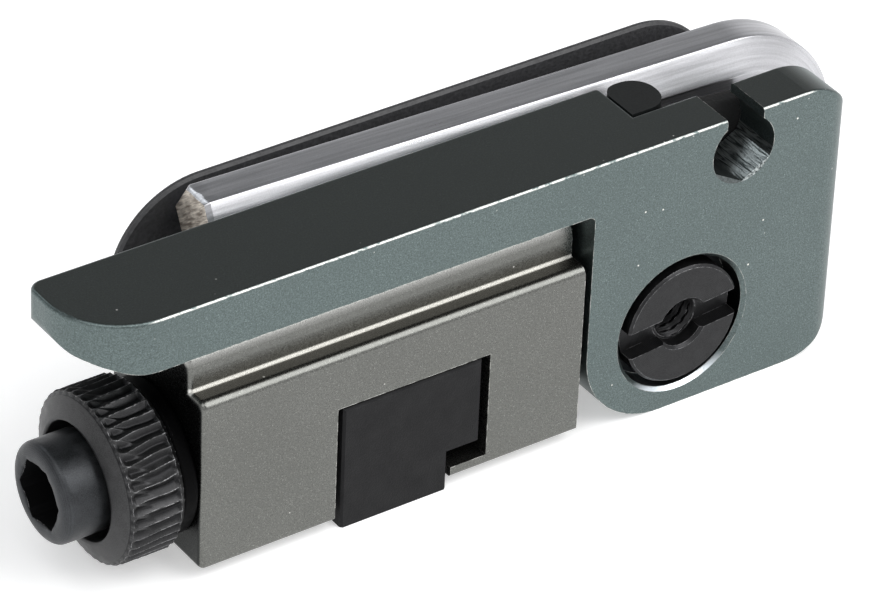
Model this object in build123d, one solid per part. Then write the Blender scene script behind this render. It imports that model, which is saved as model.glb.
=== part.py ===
"""Bicycle chain tool: L-shaped frame, folding chain block, drive screw and stored L-key.

Units are millimetres. +Z is up, +X runs along the arm towards the leg and +Y points to the back.
The origin is on the resting surface, straight below the pivot axis and half-way through the leg.
"""
from build123d import *
import math
import os

# ---- frame ----
TOP_Z = 25.6
ARM_H = 4.6
PLATE_T = 4.4
FRONT_Y = -PLATE_T / 2
PLATE_BACK_Y = PLATE_T / 2
ARM_W = 9.15
ARM_BACK_Y = FRONT_Y + ARM_W
ARM_X0 = -54.5
ARM_RISE_X = 4.4
ARM_RISE_Z = 1.55
STEP_X = -2.8
LEG_X0 = -9.2
LEG_X1 = 15.8
ARM_FRONT_R = 6.3
ARM_BACK_R = 1.2
LEG_SWING_R = 7.5
LEG_OUTER_R = 5.2
LEG_TOP_R = 5.0
LEG_FRONT_ROUND = 2.6
LEG_BACK_ROUND = 1.3
LEG_OVERRUN = 0.06
INNER_R = 0.6
EDGE_R = 0.32

# ---- keyhole notch with a 5 mm hexagon seat ----
KEY_AF = 5.0
KEYHOLE_X = 4.85
KEYHOLE_Z = 22.35
KEYHOLE_R = 2.95
KEYHOLE_MOUTH = 3.5

# ---- pivot ----
PIVOT_Z = 7.7
CBORE_R = 5.95
CBORE_D = 2.4
CBORE_CHAMFER = 0.32
BARREL_R = 3.5
PLATE_BORE_R = 3.53
NUT_HEAD_R = 5.3
NUT_HEAD_T = 2.3
NUT_BORE_R = 2.1
NUT_PROUD = 0.15
SLOT_W = 2.4
SLOT_D = 1.3
SLOT_TILT = 5.2
BUSH_R = 4.3
BUSH_BORE_R = 3.56
THRUST_T = 0.4
LUG_R = 6.6

# ---- chain block ----
BLOCK_X0 = -44.7
BLOCK_X1 = -9.8
BLOCK_Z0 = 1.0
LEDGE_Z = 16.4
LEDGE_D = 2.0
LEDGE_ROUND = 0.8
BLOCK_TOP_Z = 19.9
BLOCK_DEPTH = 12.9
BLOCK_BACK_Y = FRONT_Y + BLOCK_DEPTH
LUG_FRONT_Y = PLATE_BACK_Y + THRUST_T
WINDOW_X0 = -32.5
WINDOW_X1 = -18.5
WINDOW_TOP_Z = 11.5
LIP_X = -21.8
LIP_T = 0.95

# ---- drive screw, ring and pin ----
AXIS_Y = 4.25
AXIS_Z = 8.1
HEAD_X = -55.0
HEAD_R = 4.12
SHOULDER_X = -50.9
THREAD_R = 3.96
TAP_R = 4.0
NOSE_X = -39.6
SOCKET_D = 4.2
SOCKET_TURN = -8.0
PIN_R = 1.7
PIN_TIP_X = -33.0
RING_FRONT_X = -51.04
RING_LIP_X = -51.7
RING_BACK_X = -46.25
RING_R = 7.05
RING_FACE_R = 6.75
RING_BORE_R = 4.8
SPIGOT_R = 5.6
SPIGOT_X = -43.2
WASHER_R = 6.3
ANVIL_R = 4.0
ANVIL_BORE_R = 2.1
ANVIL_L = 5.0

# ---- plug ----
PLUG_X0 = -31.9
PLUG_X1 = -19.15
PLUG_STEP_X = -22.1
PLUG_TOP_Z = 11.2
PLUG_STEP_Z = 3.45
PLUG_BACK_Y = 10.5
GROOVE_R = 2.0
GROOVE_X1 = -25.3

# ---- stored L-key ----
KEY_Y = 10.06
KEY_X0 = -37.85
KEY_Z0 = 23.37
KEY_PITCH = 1.766
KEY_BEND_X = 11.7
KEY_BEND_R = 8.3
KEY_LEG = 11.0

# ---- key carrier ----
SHELL_Y0 = 13.2
SHELL_T = 1.4
SHELL_BACK_CHAMFER = 0.9
SHELL_R = 7.9
SHELL_Z = 17.15
SHELL_X0 = -35.3
SHELL_X1 = 5.6
RIB_X0 = -2.6
RIB_X1 = 12.6
RIB_TOP_Z = 24.1
RIB_END_Z = 21.6
RIB_BACK_Y = 4.6
PAD_X1 = 1.0
PAD_BACK_Y = 6.85
FLOOR_Z0 = 15.4
FLOOR_Z1 = 18.95
SCREW_XS = (0.2, 10.6)
SCREW_Z = 17.25
SCREW_R = 1.0
SCREW_HEAD_R = 1.7
SCREW_HEAD_Y = SHELL_Y0 + 0.12


def box(x0, x1, y0, y1, z0, z1):
    centre = ((x0 + x1) / 2, (y0 + y1) / 2, (z0 + z1) / 2)
    return Pos(*centre) * Box(x1 - x0, y1 - y0, z1 - z0)


def cyl_x(r, x0, x1, y=AXIS_Y, z=AXIS_Z):
    return Pos((x0 + x1) / 2, y, z) * Rot(0, 90, 0) * Cylinder(r, x1 - x0)


def cyl_y(r, y0, y1, x=0.0, z=PIVOT_Z):
    return Pos(x, (y0 + y1) / 2, z) * Rot(90, 0, 0) * Cylinder(r, y1 - y0)


def ring_x(r_out, r_in, x0, x1):
    return cyl_x(r_out, x0, x1) - cyl_x(r_in, x0 - 1, x1 + 1)


def ring_y(r_out, r_in, y0, y1):
    return cyl_y(r_out, y0, y1) - cyl_y(r_in, y0 - 1, y1 + 1)


def revolve_x(points):
    """Solid of revolution about the drive axis from (x, radius) points."""
    outline = Polyline([(x, r, 0) for x, r in points] + [(points[0][0], points[0][1], 0)])
    solid = revolve(make_face(outline), Axis.X, 360)
    return Pos(0, AXIS_Y, AXIS_Z) * solid


def revolve_y(points):
    """Solid of revolution about the pivot axis from (y, radius) points."""
    outline = Polyline([(r, y, 0) for y, r in points] + [(points[0][1], points[0][0], 0)])
    solid = revolve(make_face(outline), Axis.Y, 360)
    return Pos(0, 0, PIVOT_Z) * solid


def plate_xz(points, y0, y1):
    """Flat plate with a straight-edged front outline given as (x, z) points."""
    outline = Polyline([(x, y1, z) for x, z in points] + [(points[0][0], y1, points[0][1])])
    face = make_face(outline)
    return extrude(face, amount=y1 - y0, dir=(0, -1, 0))


def edges_at(solid, test):
    """Edges that pass the test, which gets each edge's centre and the edge."""
    return [e for e in solid.edges() if test(e.center(), e)]


def is_along(edge, axis):
    if edge.geom_type != GeomType.LINE:
        return False
    d = edge % 0.5
    return abs({"x": d.X, "y": d.Y, "z": d.Z}[axis]) > 0.999


def is_round(edge, radius):
    return edge.geom_type == GeomType.CIRCLE and abs(edge.radius - radius) < 0.01


def is_near(point, x=None, y=None, z=None, within=0.1):
    """True if the point lies that close to each coordinate that is given."""
    pairs = ((point.X, x), (point.Y, y), (point.Z, z))
    return all(wanted is None or abs(value - wanted) < within for value, wanted in pairs)


def build_leg():
    """Plate cut to its front outline, with its outer side rounded over from top to bottom."""
    side = box(LEG_X0, LEG_X1, FRONT_Y, PLATE_BACK_Y, 0, TOP_Z)
    edge = edges_at(side, lambda c, e: is_along(e, "z") and is_near(c, x=LEG_X1, y=FRONT_Y))
    side = fillet(edge, LEG_FRONT_ROUND)
    edge = edges_at(side, lambda c, e: is_along(e, "z") and is_near(c, x=LEG_X1, y=PLATE_BACK_Y))
    side = fillet(edge, LEG_BACK_ROUND)
    outer_x = LEG_X1 + LEG_OVERRUN
    outline = box(LEG_X0, outer_x, FRONT_Y, PLATE_BACK_Y, 0, TOP_Z)
    for x, z, radius in ((LEG_X0, 0, LEG_SWING_R), (outer_x, 0, LEG_OUTER_R), (outer_x, TOP_Z, LEG_TOP_R)):
        corner = edges_at(outline, lambda c, e: is_along(e, "y") and is_near(c, x=x, z=z))
        outline = fillet(corner, radius)
    return side & outline


def build_arm():
    """Bar whose underside rises towards its free end, with two rounded corners in plan."""
    base_z = TOP_Z - ARM_H
    outline = [
        (ARM_X0, TOP_Z),
        (ARM_X0, base_z + ARM_RISE_Z),
        (ARM_X0 + ARM_RISE_X, base_z),
        (STEP_X, base_z),
        (STEP_X, TOP_Z),
    ]
    side = plate_xz(outline, FRONT_Y, ARM_BACK_Y)
    knee = edges_at(side, lambda c, e: is_along(e, "y") and is_near(c, x=ARM_X0 + ARM_RISE_X, z=base_z))
    side = fillet(knee, 6.0)
    tip = edges_at(side, lambda c, e: is_along(e, "y") and is_near(c, x=ARM_X0, z=base_z + ARM_RISE_Z))
    side = fillet(tip, 1.2)
    plan = box(ARM_X0, STEP_X, FRONT_Y, ARM_BACK_Y, base_z, TOP_Z)
    corner = edges_at(plan, lambda c, e: is_along(e, "z") and is_near(c, x=ARM_X0, y=FRONT_Y))
    plan = fillet(corner, ARM_FRONT_R)
    corner = edges_at(plan, lambda c, e: is_along(e, "z") and is_near(c, x=ARM_X0, y=ARM_BACK_Y))
    plan = fillet(corner, ARM_BACK_R)
    corner = edges_at(plan, lambda c, e: is_along(e, "z") and is_near(c, x=STEP_X, y=ARM_BACK_Y))
    plan = fillet(corner, 0.5)
    return side & plan


def build_frame():
    body = build_arm() + build_leg()
    inner = edges_at(body, lambda c, e: is_along(e, "y") and is_near(c, x=LEG_X0, z=TOP_Z - ARM_H))
    body = fillet(inner, INNER_R)
    # keyhole: round pocket, flat-sided seat below, mouth through the top edge
    pocket = cyl_y(KEYHOLE_R, FRONT_Y - 1, PLATE_BACK_Y + 1, KEYHOLE_X, KEYHOLE_Z)
    tip_z = KEYHOLE_Z - KEY_AF / math.sqrt(3)
    rise = 5 * math.tan(math.radians(30))
    wedge = plate_xz(
        [
            (KEYHOLE_X, tip_z),
            (KEYHOLE_X + 5, tip_z + rise),
            (KEYHOLE_X + 5, TOP_Z),
            (KEYHOLE_X - 5, TOP_Z),
            (KEYHOLE_X - 5, tip_z + rise),
        ],
        FRONT_Y - 1,
        PLATE_BACK_Y + 1,
    )
    pocket = pocket & wedge
    half = KEYHOLE_MOUTH / 2
    mouth = box(KEYHOLE_X - half, KEYHOLE_X + half, FRONT_Y - 1, PLATE_BACK_Y + 1, KEYHOLE_Z, TOP_Z + 1)
    body = body - pocket - mouth
    # soft edge around the top face
    rim = edges_at(body, lambda c, e: is_near(c, z=TOP_Z) and e.length > 3.0)
    rim = [e for e in rim if e.center().X < KEYHOLE_X - 3 or is_near(e.center(), y=FRONT_Y)]
    body = fillet(rim, EDGE_R)
    # pivot hole with its counterbore
    body = body - cyl_y(PLATE_BORE_R, FRONT_Y - 1, PLATE_BACK_Y + 1)
    body = body - cyl_y(CBORE_R, FRONT_Y - 1, FRONT_Y + CBORE_D)
    mouth_edge = edges_at(body, lambda c, e: is_round(e, CBORE_R) and is_near(c, y=FRONT_Y))
    body = chamfer(mouth_edge, CBORE_CHAMFER)
    for x in SCREW_XS:
        body = body - cyl_y(SCREW_R + 0.05, -1.2, PLATE_BACK_Y + 1, x, SCREW_Z)
    return body


def build_block():
    body = box(BLOCK_X0, BLOCK_X1, FRONT_Y, BLOCK_BACK_Y, BLOCK_Z0, BLOCK_TOP_Z)
    body = body - box(BLOCK_X0 - 1, BLOCK_X1 + 1, FRONT_Y - 1, FRONT_Y + LEDGE_D, LEDGE_Z, BLOCK_TOP_Z + 1)
    top_front = edges_at(body, lambda c, e: is_along(e, "x") and abs(c.Z - BLOCK_TOP_Z) < 0.01 and c.Y < 2)
    body = fillet(top_front, 2.0)
    top_back = edges_at(body, lambda c, e: is_along(e, "x") and abs(c.Z - BLOCK_TOP_Z) < 0.01 and c.Y > 5)
    body = fillet(top_back, 4.0)
    low_back = edges_at(body, lambda c, e: is_along(e, "x") and abs(c.Z - BLOCK_Z0) < 0.01 and c.Y > 5)
    body = fillet(low_back, 2.5)
    ledge_edge = edges_at(body, lambda c, e: is_along(e, "x") and is_near(c, y=FRONT_Y, z=LEDGE_Z))
    body = fillet(ledge_edge, LEDGE_ROUND)
    foot_edge = edges_at(body, lambda c, e: is_along(e, "x") and is_near(c, y=FRONT_Y, z=BLOCK_Z0))
    body = fillet(foot_edge, 0.35)
    corner = edges_at(body, lambda c, e: is_along(e, "z") and is_near(c, x=BLOCK_X0, y=FRONT_Y))
    body = fillet(corner, 0.5)
    # hinge lug behind the leg, round about the pivot
    lug = cyl_y(LUG_R, LUG_FRONT_Y, BLOCK_BACK_Y)
    bridge = box(BLOCK_X1 - 1, 0, LUG_FRONT_Y, BLOCK_BACK_Y, PIVOT_Z - LUG_R, PIVOT_Z + LUG_R)
    body = body + lug + bridge
    # chain slot, open below, with a lip at its right
    window = box(WINDOW_X0, WINDOW_X1, FRONT_Y - 1, BLOCK_BACK_Y + 1, BLOCK_Z0 - 1, WINDOW_TOP_Z)
    lip = box(LIP_X, WINDOW_X1 + 1, FRONT_Y - 2, BLOCK_BACK_Y + 2, BLOCK_Z0 - 2, BLOCK_Z0 + LIP_T)
    body = body - (window - lip)
    # drive screw bore and ring seat
    body = body - cyl_x(TAP_R, BLOCK_X0 - 1, WINDOW_X0 + 1)
    body = body - cyl_x(SPIGOT_R + 0.05, BLOCK_X0 - 1, SPIGOT_X + 0.15)
    # anvil seat and escape hole for the chain pin
    body = body - cyl_x(ANVIL_R, WINDOW_X1 - 1, WINDOW_X1 + ANVIL_L)
    body = body - cyl_x(2.2, WINDOW_X1 - 1, WINDOW_X1 + ANVIL_L + 2.5)
    body = body - cyl_y(BUSH_R, LUG_FRONT_Y - 1, BLOCK_BACK_Y + 1)
    return body


def build_pivot_nut():
    face_y = FRONT_Y - NUT_PROUD
    points = [
        (face_y, 0.0),
        (face_y, NUT_HEAD_R - 0.2),
        (face_y + 0.2, NUT_HEAD_R),
        (FRONT_Y + NUT_HEAD_T, NUT_HEAD_R),
        (FRONT_Y + NUT_HEAD_T, BARREL_R),
        (BLOCK_BACK_Y - 0.3, BARREL_R),
        (BLOCK_BACK_Y - 0.1, BARREL_R - 0.2),
        (BLOCK_BACK_Y - 0.1, 0.0),
    ]
    nut = revolve_y(points)
    nut = nut - cyl_y(NUT_BORE_R, FRONT_Y - 1, BLOCK_BACK_Y + 1)
    nut = nut - Pos(0, face_y + 0.1, PIVOT_Z) * Rot(90, 0, 0) * Cone(NUT_BORE_R, NUT_BORE_R + 0.3, 0.3)
    slot = Box(2 * NUT_HEAD_R + 2, 2 * SLOT_D, SLOT_W)
    slot = Pos(0, face_y, PIVOT_Z) * Rot(0, -SLOT_TILT, 0) * slot
    return nut - slot


def build_pivot_screw():
    shank = cyl_y(NUT_BORE_R - 0.03, 3.0, BLOCK_BACK_Y + 0.5)
    head = cyl_y(4.0, BLOCK_BACK_Y + 0.5, BLOCK_BACK_Y + 2.15)
    outer = edges_at(head, lambda c, e: c.Y > BLOCK_BACK_Y + 2.0)
    head = fillet(outer, 0.6)
    socket = Plane((0, BLOCK_BACK_Y + 2.2, PIVOT_Z), x_dir=(1, 0, 0), z_dir=(0, -1, 0))
    socket = extrude(socket * RegularPolygon(1.73, 6), amount=1.4)
    return shank + head - socket


def build_pivot_rings():
    thrust = ring_y(5.8, BARREL_R + 0.05, PLATE_BACK_Y + 0.01, LUG_FRONT_Y - 0.02)
    wave = ring_y(4.6, NUT_BORE_R + 0.1, BLOCK_BACK_Y + 0.02, BLOCK_BACK_Y + 0.48)
    bush = ring_y(BUSH_R, BUSH_BORE_R, LUG_FRONT_Y + 0.02, BLOCK_BACK_Y - 0.02)
    return thrust, wave, bush


def build_drive_screw():
    points = [
        (HEAD_X, 0.0),
        (HEAD_X, HEAD_R - 0.85),
        (HEAD_X + 0.25, HEAD_R - 0.3),
        (HEAD_X + 0.75, HEAD_R),
        (SHOULDER_X, HEAD_R),
        (SHOULDER_X + 0.2, THREAD_R),
        (NOSE_X - 0.6, THREAD_R),
        (NOSE_X, THREAD_R - 0.6),
        (NOSE_X, 0.0),
    ]
    body = revolve_x(points)
    hexagon = Plane((HEAD_X - 0.01, AXIS_Y, AXIS_Z), x_dir=(0, 1, 0), z_dir=(1, 0, 0))
    hexagon = hexagon * Rot(0, 0, SOCKET_TURN) * RegularPolygon(KEY_AF / math.sqrt(3) + 0.03, 6)
    body = body - extrude(hexagon, amount=SOCKET_D)
    lead = Cone(KEY_AF / 2 + 0.45, KEY_AF / 2 - 0.05, 0.42)
    body = body - Pos(HEAD_X + 0.2, AXIS_Y, AXIS_Z) * Rot(0, 90, 0) * lead
    return body - cyl_x(2.5, NOSE_X - 2.6, NOSE_X + 1)


def build_press_pin():
    points = [
        (NOSE_X - 2.5, 0.0),
        (NOSE_X - 2.5, 2.4),
        (NOSE_X - 1.5, 2.4),
        (NOSE_X - 1.5, PIN_R),
        (PIN_TIP_X - 0.3, PIN_R),
        (PIN_TIP_X, PIN_R - 0.3),
        (PIN_TIP_X, 0.0),
    ]
    return revolve_x(points)


def build_lock_ring():
    points = [
        (RING_LIP_X, RING_BORE_R),
        (RING_LIP_X, RING_BORE_R + 0.25),
        (RING_FRONT_X, RING_FACE_R),
        (RING_FRONT_X + 0.25, RING_R),
        (RING_BACK_X - 0.45, RING_R),
        (RING_BACK_X, RING_R - 0.45),
        (RING_BACK_X, SPIGOT_R),
        (SPIGOT_X, SPIGOT_R),
        (SPIGOT_X, RING_BORE_R),
    ]
    return revolve_x(points)


def build_ring_washer():
    washer = ring_x(WASHER_R, SPIGOT_R + 0.08, RING_BACK_X + 0.05, BLOCK_X0 - 0.02)
    outer = edges_at(washer, lambda c, e: e.geom_type == GeomType.CIRCLE and e.radius > 6)
    return fillet(outer, 0.35)


def build_anvil():
    bush = ring_x(ANVIL_R, ANVIL_BORE_R, WINDOW_X1 + 0.02, WINDOW_X1 + ANVIL_L)
    mouth = edges_at(bush, lambda c, e: is_round(e, ANVIL_BORE_R) and c.X < WINDOW_X1 + 1)
    return chamfer(mouth, 0.3)


def build_plug():
    points = [
        (PLUG_X0, 0.0),
        (PLUG_STEP_X, 0.0),
        (PLUG_STEP_X, PLUG_STEP_Z),
        (PLUG_X1, PLUG_STEP_Z),
        (PLUG_X1, PLUG_TOP_Z),
        (PLUG_X0, PLUG_TOP_Z),
    ]
    plug = plate_xz(points, FRONT_Y + 0.05, PLUG_BACK_Y)
    face_edges = edges_at(plug, lambda c, e: c.Y < FRONT_Y + 0.06 and abs(c.Z) > 0.01)
    plug = chamfer(face_edges, 0.2)
    # groove that lets the pusher pin stay forward; open at the back
    groove = cyl_x(GROOVE_R, PLUG_X0 - 1, GROOVE_X1)
    open_back = box(PLUG_X0 - 1, GROOVE_X1, AXIS_Y, PLUG_BACK_Y + 1, AXIS_Z - GROOVE_R, AXIS_Z + GROOVE_R)
    plug = plug - groove - open_back
    return plug - cyl_x(2.0, PLUG_X1 - 1.2, PLUG_X1 + 1)


def build_plug_magnet():
    return cyl_x(1.98, PLUG_X1 - 1.18, PLUG_X1 - 0.02)


def build_key():
    """Hexagon bar swept round one bend, then tipped down towards the leg."""
    z = KEY_Z0
    run = Line((KEY_X0, KEY_Y, z), (KEY_BEND_X, KEY_Y, z))
    s = math.sin(math.radians(45)) * KEY_BEND_R
    mid = (KEY_BEND_X + s, KEY_Y, z - KEY_BEND_R + s)
    end = (KEY_BEND_X + KEY_BEND_R, KEY_Y, z - KEY_BEND_R)
    bend = ThreePointArc((KEY_BEND_X, KEY_Y, z), mid, end)
    drop = Line(end, (end[0], KEY_Y, end[2] - KEY_LEG))
    path = Wire([run, bend, drop])
    start = Plane((KEY_X0, KEY_Y, z), x_dir=(0, 1, 0), z_dir=(1, 0, 0))
    section = start * RegularPolygon(KEY_AF / math.sqrt(3), 6)
    key = sweep(section, path=path)
    tail = edges_at(key, lambda c, e: c.Z < end[2] - KEY_LEG + 0.01)
    key = chamfer(tail, 0.35)
    tip = Pos(KEY_X0, KEY_Y, z) * Rot(0, KEY_PITCH, 0) * Pos(-KEY_X0, -KEY_Y, -z)
    return tip * key


def build_key_post():
    body = box(STEP_X + 0.05, 1.0, PLATE_BACK_Y + 0.2, 6.65, RIB_TOP_Z, TOP_Z)
    edge = edges_at(body, lambda c, e: is_along(e, "z") and c.X > 0)
    body = fillet(edge, 1.95)
    edge = edges_at(body, lambda c, e: is_along(e, "z") and c.X < 0 and c.Y > 4)
    body = fillet(edge, 1.3)
    stem = Pos(-0.85, 4.6, RIB_TOP_Z - 1.2) * Cylinder(1.3, 2.6)
    return body + stem


def build_carrier():
    """Moulded holder: round-ended back plate, floor below the key and rib behind the leg."""
    mid_x = (SHELL_X0 + SHELL_X1) / 2
    outline = Plane((mid_x, SHELL_Y0, SHELL_Z), x_dir=(1, 0, 0), z_dir=(0, 1, 0))
    outline = outline * SlotCenterToCenter(SHELL_X1 - SHELL_X0, 2 * SHELL_R)
    shell = extrude(outline, amount=SHELL_T)
    back = edges_at(shell, lambda c, e: c.Y > SHELL_Y0 + SHELL_T - 0.01)
    shell = chamfer(back, SHELL_BACK_CHAMFER)
    front = edges_at(shell, lambda c, e: c.Y < SHELL_Y0 + 0.01)
    shell = chamfer(front, 0.2)
    floor = box(RIB_X0, RIB_X1, PLATE_BACK_Y + 0.1, SHELL_Y0 + 0.5, FLOOR_Z0, FLOOR_Z1)
    pad = box(RIB_X0, PAD_X1, PLATE_BACK_Y + 0.1, PAD_BACK_Y, FLOOR_Z0, RIB_TOP_Z)
    outline = [
        (RIB_X0, FLOOR_Z0),
        (RIB_X0, RIB_TOP_Z),
        (PAD_X1, RIB_TOP_Z),
        (RIB_X1 - 3.0, RIB_END_Z + 1.6),
        (RIB_X1, RIB_END_Z),
        (RIB_X1, FLOOR_Z0),
    ]
    rib = plate_xz(outline, PLATE_BACK_Y + 0.1, RIB_BACK_Y)
    top = edges_at(rib, lambda c, e: c.Z > RIB_END_Z and not is_along(e, "y") and e.length > 1.0)
    rib = fillet(top, 0.7)
    body = shell + floor + pad + rib
    body = body - Pos(-0.85, 4.6, RIB_TOP_Z - 1.2) * Cylinder(1.3, 2.7)
    for x in SCREW_XS:
        body = body - cyl_y(SCREW_R + 0.1, PLATE_BACK_Y - 1, SHELL_Y0 + SHELL_T + 1, x, SCREW_Z)
        body = body - cyl_y(SCREW_HEAD_R + 0.1, SCREW_HEAD_Y - 0.02, SHELL_Y0 + SHELL_T + 1, x, SCREW_Z)
    return body - Pos(5.4, KEY_Y, FLOOR_Z1 - 0.5) * Cylinder(2.0, 3.0)


def build_key_magnet():
    return Pos(5.4, KEY_Y, FLOOR_Z1 - 1.0) * Cylinder(1.98, 1.9)


def build_carrier_screws():
    parts = []
    for x in SCREW_XS:
        shank = cyl_y(SCREW_R, -1.0, SCREW_HEAD_Y + 0.2, x, SCREW_Z)
        head = cyl_y(SCREW_HEAD_R, SCREW_HEAD_Y, SCREW_HEAD_Y + 1.2, x, SCREW_Z)
        socket = Plane((x, SCREW_HEAD_Y + 1.25, SCREW_Z), x_dir=(1, 0, 0), z_dir=(0, -1, 0))
        socket = extrude(socket * RegularPolygon(0.9, 6), amount=0.8)
        parts.append(shank + head - socket)
    return Compound(children=parts)


def main():
    os.makedirs("parts", exist_ok=True)
    thrust, wave, bush = build_pivot_rings()
    parts = {
        "frame": build_frame(),
        "chain_block": build_block(),
        "pivot_nut": build_pivot_nut(),
        "pivot_screw": build_pivot_screw(),
        "pivot_thrust_washer": thrust,
        "pivot_wave_washer": wave,
        "pivot_bush": bush,
        "drive_screw": build_drive_screw(),
        "press_pin": build_press_pin(),
        "pin_retainer": ring_x(2.49, PIN_R + 0.05, NOSE_X - 1.3, NOSE_X - 0.1),
        "lock_ring": build_lock_ring(),
        "ring_washer": build_ring_washer(),
        "anvil_bush": build_anvil(),
        "slot_plug": build_plug(),
        "plug_magnet": build_plug_magnet(),
        "hex_key": build_key(),
        "key_post": build_key_post(),
        "key_carrier": build_carrier(),
        "key_magnet": build_key_magnet(),
        "carrier_screws": build_carrier_screws(),
    }
    for name, solid in parts.items():
        export_step(solid, os.path.join("parts", name + ".step"))
        size = solid.bounding_box().size
        print(f"{name:22s} {size.X:7.2f} {size.Y:7.2f} {size.Z:7.2f}")


main()
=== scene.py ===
import math
import bpy
import bmesh
from mathutils import Matrix, Vector, noise


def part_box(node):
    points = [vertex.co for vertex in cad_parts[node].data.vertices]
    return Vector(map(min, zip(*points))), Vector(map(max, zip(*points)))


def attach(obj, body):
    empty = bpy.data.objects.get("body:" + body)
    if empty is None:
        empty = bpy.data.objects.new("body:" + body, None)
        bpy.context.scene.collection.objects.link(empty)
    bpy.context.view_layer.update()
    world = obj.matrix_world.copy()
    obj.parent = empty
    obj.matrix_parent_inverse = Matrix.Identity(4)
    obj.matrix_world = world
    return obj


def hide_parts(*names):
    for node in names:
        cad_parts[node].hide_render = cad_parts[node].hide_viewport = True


# Bicycle chain tool: looks, finer pieces, soft studio light and camera. Metres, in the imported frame.

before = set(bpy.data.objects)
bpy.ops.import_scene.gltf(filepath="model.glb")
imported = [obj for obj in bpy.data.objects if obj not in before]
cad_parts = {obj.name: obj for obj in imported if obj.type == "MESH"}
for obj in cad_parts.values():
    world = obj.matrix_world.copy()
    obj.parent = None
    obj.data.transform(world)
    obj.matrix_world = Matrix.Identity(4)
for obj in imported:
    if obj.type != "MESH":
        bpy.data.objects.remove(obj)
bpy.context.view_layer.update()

MM = 0.001

# ---- knurled lock ring ----
RING_BORE = 4.8 * MM
RING_LIP = 0.25 * MM
RING_CONE_LENGTH = 0.66 * MM
RING_CONE_R = 6.6 * MM
RING_BAND_LENGTH = 5.45 * MM
RING_FACE_ROUND = 0.17 * MM
RING_CONE_BULGE = 0.03 * MM
RING_REAR_CHAMFER = 0.45 * MM
SPIGOT_R = 5.6 * MM
KNURL_RIDGES = 42
KNURL_SAMPLES = 22
KNURL_ROWS = 46
KNURL_DEPTH = 0.36 * MM
KNURL_LEAN = math.tan(math.radians(5))
KNURL_CROSS = math.tan(math.radians(24))

# ---- drive screw ----
HEAD_RIM = 0.95 * MM
HEAD_LENGTH = 4.1 * MM
HEX_FLATS = 5.0 * MM
SOCKET_DEPTH = 4.2 * MM
SOCKET_TURN = math.radians(-8)
SOCKET_LEAD_R = 2.68 * MM
SOCKET_RAGGED = 0.05 * MM
SCREW_POINTS = 192
THREAD_R = 3.96 * MM
THREAD_DEPTH = 0.55 * MM
THREAD_PITCH = 1.25 * MM
THREAD_STEPS = 110
NOSE_HOLE_R = 2.5 * MM
NOSE_HOLE_DEPTH = 2.6 * MM

# ---- stored key ----
KEY_PITCH = math.radians(1.766)
KEY_RUN = 49.55 * MM
KEY_BEND_R = 8.3 * MM
KEY_BEND_LENGTH = KEY_BEND_R * math.pi / 2
KEY_BEND_STEPS = 32
KEY_LEG = 11.0 * MM
KEY_CORNER_R = 0.22 * MM
KEY_SAW = 0.30 * MM

# ---- threaded bore of the pivot nut ----
NUT_BORE_R = 2.1 * MM
NUT_THREAD_DEPTH = 0.28 * MM
NUT_THREAD_PITCH = 0.75 * MM
NUT_SLOT_DEPTH = 1.3 * MM
NUT_THREAD_LENGTH = 3.6 * MM

# ---- step along the block's top front, in millimetres ----
LEDGE_DEPTH = 2.0
LEDGE_DROP = 3.5

# ---- carrier's rib and the nut's pocket, in millimetres ----
RIB_REACH = 7.0
POCKET_R = 5.97
POCKET_RIM = 0.34

# ---- keyhole in the leg, in millimetres ----
KEYHOLE = (4.85, 22.35)
KEYHOLE_R = 2.95

# ---- colours ----
FRAME_TINT = (0.125, 0.155, 0.153)
BLOCK_TINT = (0.155, 0.157, 0.147)
TOP_FACE_PAINTED_SHADE = (0.58, 0.49, 0.47)
WORN_ALUMINIUM = (0.80, 0.79, 0.75)
DUST = (0.85, 0.84, 0.80)
POCKET_WALL_PAINTED_SHADE = (0.016, 0.018, 0.019)
POCKET_RIM_PAINTED_GLINT = (0.78, 0.84, 0.88)
END_FACE_PAINTED_SHADE = (0.035, 0.037, 0.036)
LEDGE_PAINTED_SHADE = (0.115, 0.104, 0.092)
PAINTED_HIGHLIGHT_BAND = (0.46, 0.46, 0.44)
SEAT_DARK = (0.055, 0.066, 0.066)
SEAT_LIGHT = (0.46, 0.50, 0.50)
SEAT_LEFT_PAINTED_SHADE = (0.07, 0.08, 0.08)
WORN_STEEL = (0.42, 0.42, 0.43)
SOCKET_PAINTED_SHADE = (0.004, 0.004, 0.0045)
KNURL_VALLEY_PAINTED_SHADE = (0.008, 0.008, 0.009)
RIB_SHADOW = (0.002, 0.002, 0.0022)
SAWN_DARK = (0.30, 0.255, 0.215)
SAWN_LIGHT = (0.86, 0.79, 0.70)
SAWN_PATCH = (0.74, 0.69, 0.62)


# =====================================================================
# mesh helpers
# =====================================================================
def loft(name, rows, closed=False, cap_first=False, cap_last=False, sharp=35):
    """Skin over loops of equal point count; the profile may close on itself or end in capped loops."""
    count = len(rows[0])
    points = [p for row in rows for p in row]
    faces = []
    steps = len(rows) if closed else len(rows) - 1
    for i in range(steps):
        a = i * count
        b = ((i + 1) % len(rows)) * count
        for j in range(count):
            k = (j + 1) % count
            faces.append((a + j, a + k, b + k, b + j))
    for wanted, row in ((cap_first, 0), (cap_last, len(rows) - 1)):
        if not wanted:
            continue
        middle = sum(rows[row], Vector()) / count
        points.append(middle)
        a = row * count
        for j in range(count):
            faces.append((a + j, a + (j + 1) % count, len(points) - 1))
    mesh = bpy.data.meshes.new(name)
    mesh.from_pydata([tuple(p) for p in points], [], faces)
    work = bmesh.new()
    work.from_mesh(mesh)
    bmesh.ops.recalc_face_normals(work, faces=work.faces)
    work.to_mesh(mesh)
    work.free()
    mesh.polygons.foreach_set("use_smooth", [True] * len(mesh.polygons))
    mesh.set_sharp_from_angle(angle=math.radians(sharp))
    piece = bpy.data.objects.new(name, mesh)
    bpy.context.scene.collection.objects.link(piece)
    return piece


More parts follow.
